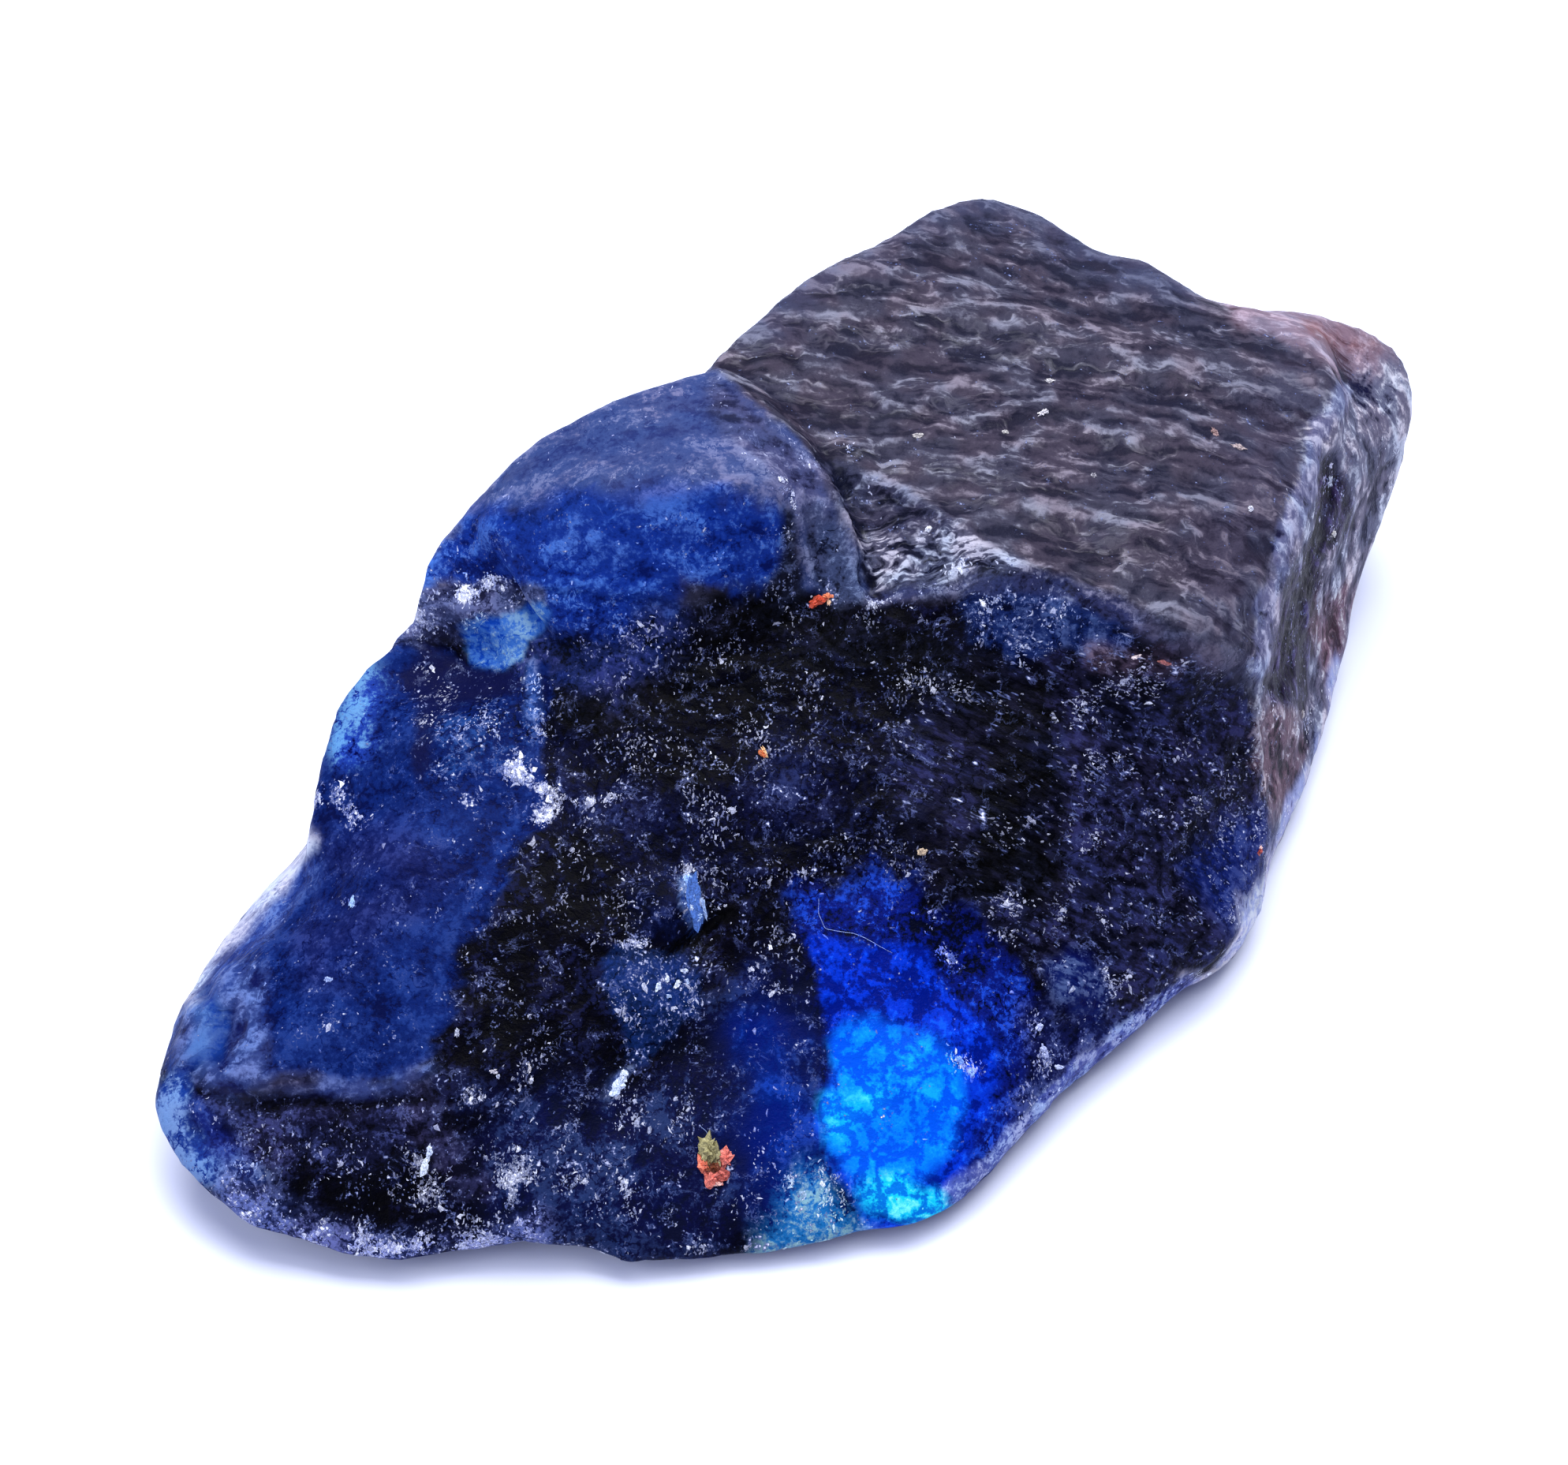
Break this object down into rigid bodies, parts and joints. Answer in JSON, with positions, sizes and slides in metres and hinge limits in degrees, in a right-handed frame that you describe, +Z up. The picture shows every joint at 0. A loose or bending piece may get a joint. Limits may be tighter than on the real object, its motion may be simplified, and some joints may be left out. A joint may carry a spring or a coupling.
{
  "type": "rough sapphire",
  "caption": "Rough dark-blue sapphire, one loose lump with a rippled dark top slab, a blue dome, a sloping dark front with a glowing blue patch, and a flat underside.",
  "frame": {"origin": "centre of the stone's bounding box at its flat underside", "axes": "+X along the stone's longest side towards the broken end, +Y towards the back, +Z up from the flat underside"},
  "size_m": [0.0592, 0.052, 0.0224],
  "materials": {
    "sapphire": "dark blue corundum, worn satin on the high places, with glittering frosted flecks and one translucent electric-blue patch"
  },
  "bodies": {
    "root": {"rough_sapphire": "sapphire"}
  },
  "joints": []
}
